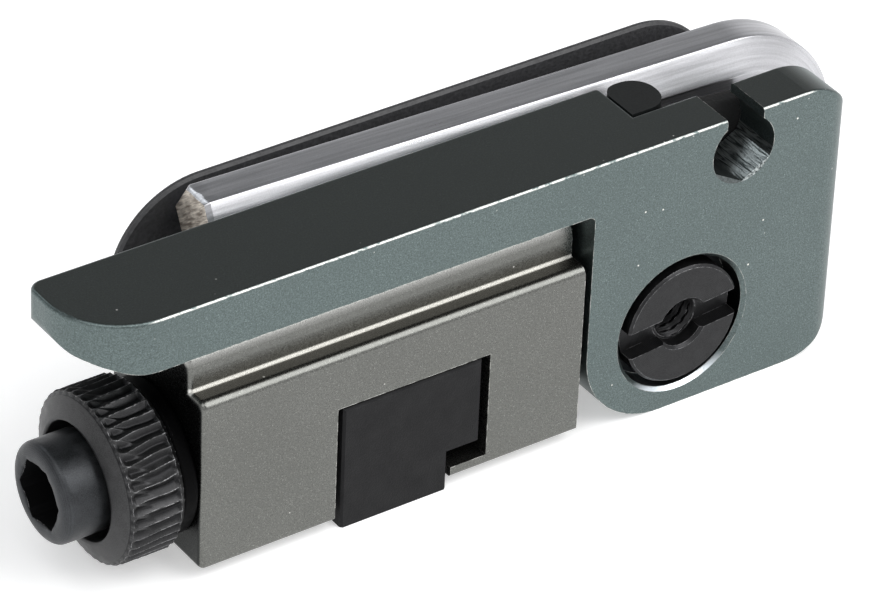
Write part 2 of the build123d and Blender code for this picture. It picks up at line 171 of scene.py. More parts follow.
def circle_x(x, radius, count, y, z, turn=0.0):
    """Loop round an axis along X; radius is a number or a function of the angle."""
    points = []
    for j in range(count):
        a = turn + 2 * math.pi * j / count
        r = radius(a) if callable(radius) else radius
        points.append(Vector((x, y + r * math.cos(a), z + r * math.sin(a))))
    return points


def store(piece, name, values):
    """Keeps one number per point for a material to read."""
    layer = piece.data.attributes.new(name, "FLOAT", "POINT")
    layer.data.foreach_set("value", values)


def triangle(t):
    """0 at whole numbers, 1 half-way between."""
    return 1 - abs(2 * (t - math.floor(t)) - 1)


def arc_points(start, end, steps):
    return [start + (end - start) * i / steps for i in range(steps + 1)]


# =====================================================================
# pieces that are finer than their solids
# =====================================================================
def knurl_height(angle, along):
    """Height between 0 and 1 of a coarse near-axial knurl with a second, steeper set crossing it."""
    turn = KNURL_RIDGES * angle / (2 * math.pi)
    shift = KNURL_RIDGES * along / (2 * math.pi * RING_CONE_R)
    wander = noise.noise(Vector((3.1 * math.cos(angle), 3.1 * math.sin(angle), along / MM * 0.5)))
    first = triangle(turn + shift * KNURL_LEAN + 0.16 * wander)
    cross = triangle(turn - shift * KNURL_CROSS + 0.12 * wander + 0.2)
    front = max(0.0, 1 - along / (2.0 * MM))
    ridge = first ** 1.5
    crossed = max(ridge * 0.9, cross ** 1.6)
    return ridge * (1 - 0.85 * front) + crossed * 0.85 * front


def ring_profile(lip, rear, radius):
    """Closed section of the ring as (x, radius, knurl strength), from its bore round to its spigot."""
    face = lip + RING_CONE_LENGTH
    back = lip + RING_BAND_LENGTH
    profile = [(rear, RING_BORE, 0), (lip + 0.15 * MM, RING_BORE, 0)]
    profile.append((lip + 0.04 * MM, RING_BORE + 0.06 * MM, 0))
    profile += [(lip, RING_BORE + 0.14 * MM, 0), (lip, RING_BORE + RING_LIP, 0)]
    for t in arc_points(0.06, 0.94, 8):
        bulge = RING_CONE_BULGE * math.sin(math.pi * t)
        x = lip + (face - lip) * t - bulge
        profile.append((x, RING_BORE + RING_LIP + (RING_CONE_R - RING_BORE - RING_LIP) * t, 0))
    profile += [(face, RING_CONE_R, 0), (face + 0.08 * MM, RING_CONE_R + 0.09 * MM, 0.05)]
    band_start = face + RING_FACE_ROUND
    band_end = back - RING_REAR_CHAMFER
    for i in range(KNURL_ROWS + 1):
        x = band_start + (band_end - band_start) * i / KNURL_ROWS
        near = min(1.0, 0.25 + (x - band_start) / (0.5 * MM), 0.35 + (band_end - x) / (0.35 * MM))
        rise = min(1.0, (x - band_start) / (0.22 * MM))
        profile.append((x, radius - 0.12 * MM * (1 - rise), near))
    profile += [(back - 0.2 * MM, radius - 0.28 * MM, 0.3), (back - 0.04 * MM, radius - 0.42 * MM, 0.0)]
    profile += [(back, radius - 0.5 * MM, 0), (back, SPIGOT_R, 0), (rear, SPIGOT_R, 0)]
    return profile


def make_lock_ring():
    """Knurled ring; "crest" keeps how high each point of the knurl stands, and 0 off the knurl."""
    low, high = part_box("lock_ring")
    y = (low.y + high.y) / 2
    z = (low.z + high.z) / 2
    radius = (high.z - low.z) / 2
    band_start = low.x + RING_CONE_LENGTH + RING_FACE_ROUND
    count = KNURL_RIDGES * KNURL_SAMPLES
    rows = []
    crest = []
    for x, r, depth in ring_profile(low.x, high.x, radius):
        row = []
        for j in range(count):
            a = 2 * math.pi * j / count
            stands = knurl_height(a, x - band_start) if depth else 1.0
            drop = KNURL_DEPTH * depth * (1 - stands)
            crest.append(stands if depth else 0.0)
            row.append(Vector((x, y + (r - drop) * math.cos(a), z + (r - drop) * math.sin(a))))
        rows.append(row)
    piece = loft("knurled_lock_ring", rows, closed=True, sharp=50)
    store(piece, "crest", crest)
    return piece


def socket_hexagon(a):
    """Radius of the socket's wall; its corners lie at the turn angle and every 60 degrees on."""
    part = (a - SOCKET_TURN) % (math.pi / 3) - math.pi / 6
    return min(HEX_FLATS / 2 / math.cos(part), HEX_FLATS / math.sqrt(3) - 0.03 * MM)


def socket_ragged(a):
    return SOCKET_RAGGED * noise.noise(Vector((5 * math.cos(a), 5 * math.sin(a), 0.3)))


def socket_lead(a):
    """Radius of the socket's worn countersink."""
    return max(SOCKET_LEAD_R + socket_ragged(a), socket_hexagon(a) + 0.02 * MM)


def make_drive_screw():
    """Screw from the socket's floor over the head and the thread to the nose; "deep" is 1 in the socket,
    which is painted near black as shade.
    """
    low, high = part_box("drive_screw")
    y = (low.y + high.y) / 2
    z = (low.z + high.z) / 2
    head_r = (high.z - low.z) / 2

    def loop(x, radius):
        return circle_x(x, radius, SCREW_POINTS, y, z, SOCKET_TURN)

    floor = low.x + SOCKET_DEPTH
    rows = [loop(floor + 0.9 * MM, 0.1 * MM)]
    rows.append(loop(floor, lambda a: socket_hexagon(a) * 0.93))
    rows.append(loop(floor - 0.05 * MM, socket_hexagon))
    wall = loop(0, socket_hexagon)
    for j, p in enumerate(wall):
        a = SOCKET_TURN + 2 * math.pi * j / SCREW_POINTS
        flare = socket_lead(a) - socket_hexagon(a)
        p.x = low.x + 0.05 * MM + 0.45 * flare + abs(socket_ragged(a))
    rows.append(wall)
    socket_rows = len(rows)
    rows.append(loop(low.x + 0.03 * MM, socket_lead))
    rows.append(loop(low.x, lambda a: socket_lead(a) + 0.05 * MM))
    for t in arc_points(0.0, 0.5 * math.pi, 9):
        r = head_r - HEAD_RIM + HEAD_RIM * math.sin(t)
        rows.append(loop(low.x + HEAD_RIM * 0.8 * (1 - math.cos(t)), r))
    shoulder = low.x + HEAD_LENGTH
    rows.append(loop(shoulder - 0.15 * MM, head_r))
    rows.append(loop(shoulder, head_r - 0.15 * MM))
    start = shoulder + 0.25 * MM
    end = high.x - 0.6 * MM
    for x in arc_points(start, end, THREAD_STEPS):

        def thread(a, x=x):
            return THREAD_R - THREAD_DEPTH * triangle((x - start) / THREAD_PITCH - a / (2 * math.pi)) ** 1.2

        rows.append(loop(x, thread))
    rows.append(loop(high.x, THREAD_R - 0.6 * MM))
    rows.append(loop(high.x, NOSE_HOLE_R))
    rows.append(loop(high.x - NOSE_HOLE_DEPTH, NOSE_HOLE_R))
    piece = loft("drive_screw_body", rows, cap_first=True, cap_last=True, sharp=38)
    socket_shade = [0.0] * len(piece.data.vertices)
    floor_centre = len(rows) * SCREW_POINTS
    for i in [*range(socket_rows * SCREW_POINTS), floor_centre]:
        socket_shade[i] = 1.0
    store(piece, "socket_shade", socket_shade)
    return piece


def hexagon_section():
    """Closed outline of the bar with softened corners, as (side, up) pairs."""
    outer = HEX_FLATS / math.sqrt(3)
    middle = outer - KEY_CORNER_R / math.cos(math.radians(30))
    corners = []
    for k in range(6):
        a = math.radians(60 * k)
        for t in arc_points(-30.0, 30.0, 4):
            b = a + math.radians(t)
            side = middle * math.cos(a) + KEY_CORNER_R * math.cos(b)
            rise = middle * math.sin(a) + KEY_CORNER_R * math.sin(b)
            corners.append((k, side, rise))
    section = []
    for i, (k, u, v) in enumerate(corners):
        section.append((u, v))
        after = corners[(i + 1) % len(corners)]
        if after[0] != k:
            for t in (0.2, 0.4, 0.6, 0.8):
                section.append((u + (after[1] - u) * t, v + (after[2] - v) * t))
    return section


def key_stations():
    """Middle line of the level key as (place, turn, distance run), from the sawn end round the bend."""
    stations = []
    for s in (0.0, 0.004 * MM, 0.10 * MM, 0.22 * MM, 0.42 * MM, *arc_points(1.5 * MM, KEY_RUN, 20)):
        stations.append((Vector((s, 0, 0)), 0.0, s))
    for i in range(1, KEY_BEND_STEPS + 1):
        a = 0.5 * math.pi * i / KEY_BEND_STEPS
        at = Vector((KEY_RUN + KEY_BEND_R * math.sin(a), 0, -KEY_BEND_R * (1 - math.cos(a))))
        stations.append((at, a, KEY_RUN + KEY_BEND_R * a))
    corner = Vector((KEY_RUN + KEY_BEND_R, 0, -KEY_BEND_R))
    for s in (3 * MM, 7 * MM, KEY_LEG - 0.4 * MM, KEY_LEG - 0.02 * MM, KEY_LEG):
        stations.append((corner - Vector((0, 0, s)), 0.5 * math.pi, KEY_RUN + KEY_BEND_LENGTH + s))
    return stations


def make_hex_key():
    """L-key with a ragged sawn end; "lay" runs along the bar in x and round it in y."""
    low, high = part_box("hex_key")
    y = (low.y + high.y) / 2
    half = HEX_FLATS / 2
    start = Vector((low.x + half * math.sin(KEY_PITCH), y, high.z - half * math.cos(KEY_PITCH)))
    section = hexagon_section()
    total = KEY_RUN + KEY_BEND_LENGTH + KEY_LEG
    tip = Matrix.Rotation(KEY_PITCH, 4, "Y")
    rows = []
    lay = []
    for at, a, s in key_stations():
        up = Vector((math.sin(a), 0, math.cos(a)))
        row = []
        for i, (u, v) in enumerate(section):
            angle = math.atan2(v, u)
            rough = 0.45 + 0.8 * noise.noise(Vector((2.2 * math.cos(angle), 2.2 * math.sin(angle), 4.0)))
            cut = max(0.0, KEY_SAW * (0.75 + rough) - s) * 0.8
            tail = max(0.0, 0.36 * MM - (total - s)) * 0.9
            shrink = 1 - (cut + tail) / (HEX_FLATS * 0.54)
            point = at + Vector((0, u * shrink, 0)) + up * (v * shrink)
            row.append(start + tip @ point)
            lay.append((s / MM, i * 0.3, 0.0))
        rows.append(row)
    piece = loft("hex_key_bar", rows, cap_first=True, cap_last=True, sharp=28)
    lay += [(0.0, 0.0, 0.0), (total / MM, 0.0, 0.0)]
    layer = piece.data.attributes.new("lay", "FLOAT_VECTOR", "POINT")
    layer.data.foreach_set("vector", [n for triple in lay for n in triple])
    count = len(section)
    end_centre = count * len(rows)
    for polygon in piece.data.polygons:
        in_end = all(v < count * 2 or v == end_centre for v in polygon.vertices)
        polygon.material_index = 1 if in_end else 0
    return piece


def make_nut_thread():
    """Helical thread just inside the nut's bore, from the slot's floor to the pivot screw."""
    low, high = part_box("pivot_nut")
    x = (low.x + high.x) / 2
    z = (low.z + high.z) / 2
    start = low.y + NUT_SLOT_DEPTH + 0.03 * MM
    count = 96
    steps = 60

    def loop(y, radius):
        points = []
        for j in range(count):
            a = 2 * math.pi * j / count
            r = radius(a)
            points.append(Vector((x + r * math.cos(a), y, z + r * math.sin(a))))
        return points

    wall = NUT_BORE_R - 0.01 * MM
    rows = [loop(start, lambda a: wall)]
    for i in range(steps + 1):
        y = start + 0.02 * MM + NUT_THREAD_LENGTH * i / steps

        def ridge(a, y=y):
            wave = triangle((y - start) / NUT_THREAD_PITCH + a / (2 * math.pi))
            return wall - 0.02 * MM - NUT_THREAD_DEPTH * wave

        rows.append(loop(y, ridge))
    rows.append(loop(start + NUT_THREAD_LENGTH + 0.04 * MM, lambda a: wall))
    return loft("pivot_nut_thread", rows, closed=True, sharp=50)


# =====================================================================
# materials
# =====================================================================
class Finish:
    """A material under construction; every length that it takes is in millimetres."""

    def __init__(self, name):
        self.material = bpy.data.materials.new(name)
        self.material.use_nodes = True
        self.tree = self.material.node_tree
        self.tree.nodes.clear()
        self.out = self.node("ShaderNodeOutputMaterial")
        self.shader = self.node("ShaderNodeBsdfPrincipled")
        self.link(self.shader.outputs["BSDF"], self.out.inputs["Surface"])
        place = self.node("ShaderNodeTexCoord")
        scaled = self.node("ShaderNodeVectorMath", operation="SCALE")
        scaled.inputs["Scale"].default_value = 1 / MM
        self.link(place.outputs["Object"], scaled.inputs[0])
        self.mm = scaled.outputs["Vector"]

    def node(self, kind, **settings):
        made = self.tree.nodes.new(kind)
        for key, value in settings.items():
            setattr(made, key, value)
        return made

    def link(self, source, socket):
        self.tree.links.new(source, socket)

    def feed(self, value, socket):
        if isinstance(value, (int, float)):
            socket.default_value = value
        else:
            self.link(value, socket)

    def math(self, operation, a, b=0.0, clamp=False):
        made = self.node("ShaderNodeMath", operation=operation, use_clamp=clamp)
        self.feed(a, made.inputs[0])
        self.feed(b, made.inputs[1])
        return made.outputs[0]

    def stretch(self, x, y, z, source=None):
        made = self.node("ShaderNodeVectorMath", operation="MULTIPLY")
        self.link(source or self.mm, made.inputs[0])
        made.inputs[1].default_value = (x, y, z)
        return made.outputs["Vector"]

    def noise(self, size, detail=2.0, source=None, distort=0.0):
        """Smooth noise whose lumps are about that many millimetres across."""
        made = self.node("ShaderNodeTexNoise")
        self.link(source or self.mm, made.inputs["Vector"])
        made.inputs["Scale"].default_value = 1 / size
        made.inputs["Detail"].default_value = detail
        made.inputs["Distortion"].default_value = distort
        return made.outputs["Fac"]

    def cells(self, size):
        made = self.node("ShaderNodeTexVoronoi", feature="F1")
        self.link(self.mm, made.inputs["Vector"])
        made.inputs["Scale"].default_value = 1 / size
        return made

    def range(self, value, low, high, to_low=0.0, to_high=1.0):
        made = self.node("ShaderNodeMapRange")
        made.clamp = True
        self.feed(value, made.inputs["Value"])
        for name, number in (("From Min", low), ("From Max", high), ("To Min", to_low), ("To Max", to_high)):
            made.inputs[name].default_value = number
        return made.outputs["Result"]

    def blend(self, factor, a, b):
        """Colour a where the factor is 0 and b where it is 1."""
        made = self.node("ShaderNodeMix", data_type="RGBA")
        self.feed(factor, made.inputs["Factor"])
        for value, socket in ((a, made.inputs[6]), (b, made.inputs[7])):
            if isinstance(value, tuple):
                socket.default_value = (*value, 1)
            else:
                self.link(value, socket)
        return made.outputs[2]

    def specks(self, spacing, radius, share=0.5):
        """Scattered round dots: 1 on a dot."""
        cells = self.cells(spacing)
        dot = self.range(cells.outputs["Distance"], radius / spacing, radius * 0.55 / spacing)
        split = self.node("ShaderNodeSeparateColor")
        self.link(cells.outputs["Color"], split.inputs[0])
        chosen = self.math("GREATER_THAN", split.outputs[0], 1 - share)
        size = self.range(split.outputs[1], 0.0, 1.0, 0.35, 1.0)
        return self.math("MULTIPLY", self.math("MULTIPLY", dot, chosen), size)

    def edges(self, radius):
        """1 along sharp edges, fading within that radius."""
        bevel = self.node("ShaderNodeBevel", samples=6)
        bevel.inputs["Radius"].default_value = radius * MM
        flat = self.node("ShaderNodeNewGeometry")
        dot = self.node("ShaderNodeVectorMath", operation="DOT_PRODUCT")
        self.link(bevel.outputs["Normal"], dot.inputs[0])
        self.link(flat.outputs["Normal"], dot.inputs[1])
        return self.range(dot.outputs["Value"], 0.995, 0.90)

    def axis(self):
        made = self.node("ShaderNodeSeparateXYZ")
        self.link(self.mm, made.inputs[0])
        return made.outputs

    def near(self, value, target, width):
        """1 where the value is that number, falling to 0 at the width."""
        away = self.math("ABSOLUTE", self.math("SUBTRACT", value, target))
        return self.range(away, width, width * 0.4)

    def radius_from(self, a, b, centre):
        x = self.math("SUBTRACT", a, centre[0])
        z = self.math("SUBTRACT", b, centre[1])
        return self.math("SQRT", self.math("ADD", self.math("MULTIPLY", x, x), self.math("MULTIPLY", z, z)))

    def bump(self, height, depth, strength=1.0, after=None):
        made = self.node("ShaderNodeBump")
        made.inputs["Distance"].default_value = depth * MM
        made.inputs["Strength"].default_value = strength
        self.link(height, made.inputs["Height"])
        if after:
            self.link(after, made.inputs["Normal"])
        return made.outputs["Normal"]

    def finish(self, colour, roughness, metallic, normal=None):
        for value, name in ((colour, "Base Color"), (roughness, "Roughness"), (metallic, "Metallic")):
            socket = self.shader.inputs[name]
            if isinstance(value, tuple):
                socket.default_value = (*value, 1)
            else:
                self.feed(value, socket)
        if normal:
            self.link(normal, self.shader.inputs["Normal"])
        return self.material


def pocket_tones(f, axes, colour, pocket):
    """Painted shade on the wall of the nut's pocket, and a painted highlight arc on the lower part of its
    rim.
    """
    x, y, z = axes
    centre_x, centre_z, radius, wall_y = pocket
    reach = f.radius_from(x, z, (centre_x, centre_z))
    within = f.math("LESS_THAN", reach, radius)
    wall = f.math("MULTIPLY", within, f.math("GREATER_THAN", y, wall_y))
    colour = f.blend(wall, colour, POCKET_WALL_PAINTED_SHADE)
    low_side = f.range(z, centre_z - 4.3, centre_z - 5.4)
    chamfer = f.math("GREATER_THAN", y, wall_y - POCKET_RIM + 0.01)
    rim = f.math("MULTIPLY", f.near(reach, radius + 0.15, 0.24), chamfer)
    return f.blend(f.math("MULTIPLY", rim, low_side), colour, POCKET_RIM_PAINTED_GLINT)


def top_face_painted_shade(f, colour, tint):
    """Painted shade: faces that look up are darker and less green."""
    flat = f.node("ShaderNodeNewGeometry")
    split = f.node("ShaderNodeSeparateXYZ")
    f.link(flat.outputs["Normal"], split.inputs[0])
    upward = f.range(split.outputs["Z"], 0.85, 0.99)
    shade = tuple(c * share for c, share in zip(tint, TOP_FACE_PAINTED_SHADE))
    return f.blend(f.math("MULTIPLY", upward, 0.75), colour, shade)


def top_edge_wear(f, axes, wear, dust, top_edge):
    """Chipped pale line along the top front edge, with dust close to it."""
    _, y, z = axes
    edge_y, edge_z = top_edge
    line = f.math("MULTIPLY", f.near(y, edge_y, 0.20), f.near(z, edge_z, 0.20))
    chips = f.range(f.noise(0.22, detail=4.0, source=f.stretch(0.45, 1, 1)), 0.36, 0.50)
    wear = f.math("MAXIMUM", wear, f.math("MULTIPLY", line, chips))
    close = f.math("MULTIPLY", f.near(y, edge_y, 1.1), f.near(z, edge_z, 1.1))
    dust = f.math("MAXIMUM", dust, f.math("MULTIPLY", close, f.specks(0.8, 0.08, share=0.35)))
    return wear, dust


def crease_tones(f, axes, colour, crease):
    """Painted shade makes the ledge at the foot of the block's step darker and browner, and a painted
    highlight band runs along its top.
    """
    _, y, z = axes
    step_y, step_z = crease
    ledge = f.math("MULTIPLY", f.near(z, step_z, 0.12), f.math("LESS_THAN", y, step_y))
    colour = f.blend(f.math("MULTIPLY", ledge, 0.6), colour, LEDGE_PAINTED_SHADE)
    top_band = f.range(z, step_z + 2.05, step_z + 2.45)
    highlight_band = f.math("MULTIPLY", top_band, f.math("LESS_THAN", y, step_y + 3.0))
    return f.blend(f.math("MULTIPLY", highlight_band, 0.75), colour, PAINTED_HIGHLIGHT_BAND)


def seat_tones(f, axes, colour, normal, keyhole):
    """Milled lower wall of the keyhole: streaks along the bore, with painted shade darkening its left side.
    """
    x, _, z = axes
    inside = f.math("LESS_THAN", f.radius_from(x, z, keyhole), KEYHOLE_R + 0.02)
    inside = f.math("MULTIPLY", inside, f.math("LESS_THAN", z, keyhole[1] - 0.6))
    strokes = f.noise(0.5, detail=5.0, source=f.stretch(2.2, 0.22, 2.2), distort=0.8)
    tone = f.blend(f.range(strokes, 0.38, 0.64), SEAT_DARK, SEAT_LIGHT)
    left = f.range(x, keyhole[0] + 0.1, keyhole[0] - 0.1)
    tone = f.blend(f.math("MULTIPLY", left, 0.85), tone, SEAT_LEFT_PAINTED_SHADE)
    normal = f.bump(f.math("MULTIPLY", strokes, inside), 0.05, 0.8, after=normal)
    return f.blend(inside, colour, tone), normal


def anodised(
    name,
    tint,
    top_edge=None,
    keyhole=None,
    pocket=None,
    crease=None,
    shaded_end=None,
    roughness=0.36,
    contrast=0.15,
):
    """Blasted and anodised aluminium: fine sparkle, dust specks and worn sharp edges.

    In millimetres, top_edge and crease are the (y, z) of a line along X, keyhole is the (x, z) of its centre,
    pocket is (x, z, radius, y where its wall begins), and shaded_end is the x of an end face painted near
    black as shade.
    """
    f = Finish(name)
    axes = f.axis()
    x, y, z = axes
    grain = f.noise(0.13, detail=4.0)
    cloud = f.noise(7.0, detail=3.0)
    sparkle = f.range(f.noise(0.09, detail=1.0), 0.62, 0.76)
    dark = tuple(c * (1 - contrast) for c in tint)
    light = tuple(c * (1 + contrast) for c in tint)
    colour = f.blend(f.range(grain, 0.38, 0.62), dark, light)
    colour = f.blend(f.range(cloud, 0.35, 0.7, 0.0, 0.35), colour, tuple(c * 0.82 for c in tint))
    colour = f.blend(f.math("MULTIPLY", sparkle, 0.5), colour, tuple(min(1.0, c * 2.6) for c in tint))
    rough = f.range(grain, 0.3, 0.7, roughness - 0.05, roughness + 0.08)
    pits = f.specks(3.1, 0.07, share=0.35)
    colour = f.blend(pits, colour, tuple(c * 0.35 for c in tint))
    wear = f.math("MULTIPLY", f.edges(0.10), f.range(f.noise(0.5, detail=4.0), 0.42, 0.60))
    dust = f.specks(2.1, 0.105, share=0.55)
    if pocket:
        colour = pocket_tones(f, axes, colour, pocket)
    if top_edge:
        colour = top_face_painted_shade(f, colour, tint)
        wear, dust = top_edge_wear(f, axes, wear, dust, top_edge)
    # Painted shade: the end face at that x is near black.
    if shaded_end is not None:
        colour = f.blend(f.near(x, shaded_end, 0.12), colour, END_FACE_PAINTED_SHADE)
    if crease:
        colour = crease_tones(f, axes, colour, crease)
        # Painted highlight: a pale line along the crease at the foot of the step, laid into the wear and dust
        # masks.
        corner = f.math("MULTIPLY", f.near(y, crease[0], 0.26), f.near(z, crease[1], 0.26))
        wear = f.math("MAXIMUM", wear, f.math("MULTIPLY", corner, 0.9))
        dust = f.math("MAXIMUM", dust, f.math("MULTIPLY", corner, 0.6))
    colour = f.blend(f.math("MULTIPLY", wear, 0.85), colour, WORN_ALUMINIUM)
    metal = f.math("SUBTRACT", 0.97, f.math("MULTIPLY", dust, 0.9))
    normal = f.bump(grain, 0.0035, 0.8)
    if keyhole:
        colour, normal = seat_tones(f, axes, colour, normal, keyhole)
    colour = f.blend(dust, colour, DUST)
    return f.finish(colour, rough, metal, normal)


def black_oxide(name, tint, crest=False, socket_shade=False, turned=None, roughness=0.42, gloss=0.5):
    """Blackened steel with paler worn crests; turned gives the axis and centre of faint turning marks."""
    f = Finish(name)
    grain = f.noise(0.07, detail=3.0)
    mottle = f.noise(0.9, detail=4.0)
    colour = f.blend(f.range(grain, 0.35, 0.7), tuple(c * 0.7 for c in tint), tuple(c * 1.35 for c in tint))
    colour = f.blend(f.range(mottle, 0.45, 0.75, 0.0, 0.5), colour, tuple(c * 1.7 for c in tint))
    rough = f.range(mottle, 0.3, 0.75, roughness - 0.07, roughness + 0.10)
    height = grain
    depth = 0.006
    if turned:
        x, y, z = f.axis()
        plane = {"x": (y, z), "y": (x, z)}[turned[0]]
        radius = f.radius_from(*plane, turned[1])
        rings = f.math("SINE", f.math("MULTIPLY", radius, 2 * math.pi / 0.13))
        scratch = f.noise(0.05, detail=2.0)
        height = f.math("ADD", f.math("MULTIPLY", rings, 0.5), scratch)
        depth = 0.004
        ring_tone = f.range(rings, -1.0, 1.0, 0.0, 0.22)
        colour = f.blend(ring_tone, colour, tuple(c * 2.2 for c in tint))
    wear = f.math("MULTIPLY", f.edges(0.09), f.range(f.noise(0.4, detail=3.0), 0.40, 0.62))
    # Painted shade: inside the socket the colour goes near black.
    if socket_shade:
        socket_shade_mask = f.node("ShaderNodeAttribute", attribute_name="socket_shade").outputs["Fac"]
        colour = f.blend(socket_shade_mask, colour, SOCKET_PAINTED_SHADE)
        rough = f.math("MAXIMUM", rough, f.math("MULTIPLY", socket_shade_mask, 0.8))
    if crest:
        height_here = f.node("ShaderNodeAttribute", attribute_name="crest").outputs["Fac"]
        # Painted shade darkens the knurl's valleys; the paler crests further down are wear.
        valley = f.range(height_here, 0.8, 0.1)
        on_knurl = f.math("GREATER_THAN", height_here, 0.001)
        shaded = f.math("MULTIPLY", f.math("MULTIPLY", valley, on_knurl), 0.75)
        colour = f.blend(shaded, colour, KNURL_VALLEY_PAINTED_SHADE)
        tops = f.range(height_here, 0.86, 0.98)
        patch = f.range(f.noise(1.1, detail=4.0), 0.42, 0.60)
        wear = f.math("MAXIMUM", wear, f.math("MULTIPLY", tops, patch))
    colour = f.blend(f.math("MULTIPLY", wear, 0.7), colour, WORN_STEEL)
    f.shader.inputs["Specular IOR Level"].default_value = gloss
    return f.finish(colour, rough, 0.85, f.bump(height, depth, 0.8))


def moulded(name, tint, grain_size, depth, roughness, gloss=0.5, rib_y=None):
    """Moulded black plastic with an all-over eroded grain; in front of rib_y it is painted nearly black as
    shadow, and matt.
    """
    f = Finish(name)
    cells = f.cells(grain_size)
    pebbles = f.math("MULTIPLY", cells.outputs["Distance"], 0.6)
    lumps = f.math("ADD", f.noise(grain_size * 0.9, detail=3.0), pebbles)
    colour = f.blend(f.range(lumps, 0.5, 1.1), tuple(c * 0.75 for c in tint), tuple(c * 1.3 for c in tint))
    # Painted highlight: sharp edges are lighter.
    colour = f.blend(f.math("MULTIPLY", f.edges(0.10), 0.35), colour, tuple(min(1.0, c * 4) for c in tint))
    rough = f.range(f.noise(1.6, detail=3.0), 0.3, 0.7, roughness - 0.05, roughness + 0.07)
    if rib_y is not None:
        _, y, _ = f.axis()
        before_rib = f.range(y, rib_y + 0.1, rib_y - 0.1)
        colour = f.blend(before_rib, colour, RIB_SHADOW)
        rough = f.math("MAXIMUM", rough, f.math("MULTIPLY", before_rib, 0.85))
    f.shader.inputs["Specular IOR Level"].default_value = gloss
    return f.finish(colour, rough, 0.0, f.bump(lumps, depth, 1.0))


def drawn_steel(name, tint, roughness):
    """Drawn and plated hexagon bar: fine lines along the bar and small nicks."""
    f = Finish(name)
    lay = f.node("ShaderNodeAttribute", attribute_name="lay").outputs["Vector"]
    lines = f.noise(0.5, detail=5.0, source=f.stretch(0.06, 3.0, 1, source=lay))
    broad = f.noise(1.6, detail=3.0, source=f.stretch(0.12, 1.6, 1, source=lay))
    grain = f.noise(0.09, detail=2.0)
    mixed = f.math("ADD", f.math("MULTIPLY", lines, 0.7), f.math("MULTIPLY", grain, 0.3))
    low = tuple(c * 0.84 for c in tint)
    high = tuple(min(1, c * 1.12) for c in tint)
    colour = f.blend(f.range(mixed, 0.38, 0.62), low, high)
    rough = f.range(broad, 0.3, 0.7, roughness - 0.05, roughness + 0.09)
    return f.finish(colour, rough, 1.0, f.bump(mixed, 0.010, 0.8))


def sawn_steel(name):
    """Saw-cut bar end: brownish, with coarse slanting scratches."""
    f = Finish(name)
    turn = f.node("ShaderNodeVectorRotate", rotation_type="X_AXIS")
    turn.inputs["Angle"].default_value = math.radians(38)
    f.link(f.mm, turn.inputs["Vector"])
    along = f.stretch(1, 0.35, 2.2, source=turn.outputs["Vector"])
    slant = f.noise(0.42, detail=5.0, source=along, distort=0.3)
    patch = f.noise(0.9, detail=3.0)
    colour = f.blend(f.range(slant, 0.38, 0.62), SAWN_DARK, SAWN_LIGHT)
    colour = f.blend(f.range(patch, 0.5, 0.75, 0.0, 0.5), colour, SAWN_PATCH)
    return f.finish(colour, f.range(patch, 0.3, 0.7, 0.36, 0.5), 0.9, f.bump(slant, 0.06, 0.9))


def bare_metal(name, tint, roughness, grain_size=0.12):
    """Plain turned or ground metal with a fine lay and soft clouding."""
    f = Finish(name)
    grain = f.noise(grain_size, detail=3.0, source=f.stretch(0.3, 1, 1))
    cloud = f.noise(1.5, detail=3.0)
    low = tuple(c * 0.85 for c in tint)
    high = tuple(min(1, c * 1.1) for c in tint)
    colour = f.blend(f.range(grain, 0.35, 0.65), low, high)
    rough = f.range(cloud, 0.3, 0.7, roughness - 0.05, roughness + 0.08)
    return f.finish(colour, rough, 1.0, f.bump(grain, 0.005, 0.8))


# =====================================================================
# assembly
# =====================================================================
def box_centre(name):
    low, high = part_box(name)
    return (low + high) / 2 / MM


frame_low, frame_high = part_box("frame")
block_low, block_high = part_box("chain_block")
drive_centre = box_centre("drive_screw")
nut_centre = box_centre("pivot_nut")

finish_frame = anodised(
    "frame_finish",
    FRAME_TINT,
    top_edge=(frame_low.y / MM, frame_high.z / MM),
    keyhole=KEYHOLE,
    pocket=(nut_centre.x, nut_centre.z, POCKET_R, frame_low.y / MM + POCKET_RIM),
    contrast=0.26,
)
finish_block = anodised(
    "block_finish",
    BLOCK_TINT,
    crease=(block_low.y / MM + LEDGE_DEPTH, block_high.z / MM - LEDGE_DROP),
    shaded_end=block_low.x / MM,
    roughness=0.27,
)
finish_nut = black_oxide(
    "nut_finish",
    (0.025, 0.025, 0.026),
    turned=("y", (nut_centre.x, nut_centre.z)),
    roughness=0.38,
)
finish_screw = black_oxide(
    "screw_finish",
    (0.040, 0.042, 0.045),
    socket_shade=True,
    turned=("x", (drive_centre.y, drive_centre.z)),
)
finish_ring = black_oxide("ring_finish", (0.046, 0.046, 0.047), crest=True, roughness=0.40)
finish_washer = black_oxide("washer_finish", (0.006, 0.006, 0.007), roughness=0.50)
finish_collar = black_oxide("collar_finish", (0.003, 0.003, 0.0032), roughness=0.60, gloss=0.1)
finish_post = moulded("post_finish", (0.009, 0.010, 0.010), 0.16, 0.003, 0.42, gloss=0.2)
finish_carrier = moulded("carrier_finish", (0.034, 0.034, 0.036), 0.34, 0.045, 0.50, rib_y=RIB_REACH)
finish_plug = moulded("plug_finish", (0.007, 0.007, 0.0078), 0.15, 0.020, 0.60, gloss=0.22)
finish_bar = drawn_steel("key_finish", (0.56, 0.56, 0.58), 0.30)
finish_sawn = sawn_steel("key_end_finish")
finish_pin = bare_metal("pin_finish", (0.50, 0.50, 0.50), 0.25)
finish_anvil = bare_metal("anvil_finish", (0.30, 0.30, 0.31), 0.35)
finish_bronze = bare_metal("bush_finish", (0.46, 0.29, 0.14), 0.38)
finish_plain = bare_metal("plain_steel_finish", (0.46, 0.46, 0.47), 0.30)
finish_magnet = bare_metal("magnet_finish", (0.62, 0.62, 0.60), 0.22)

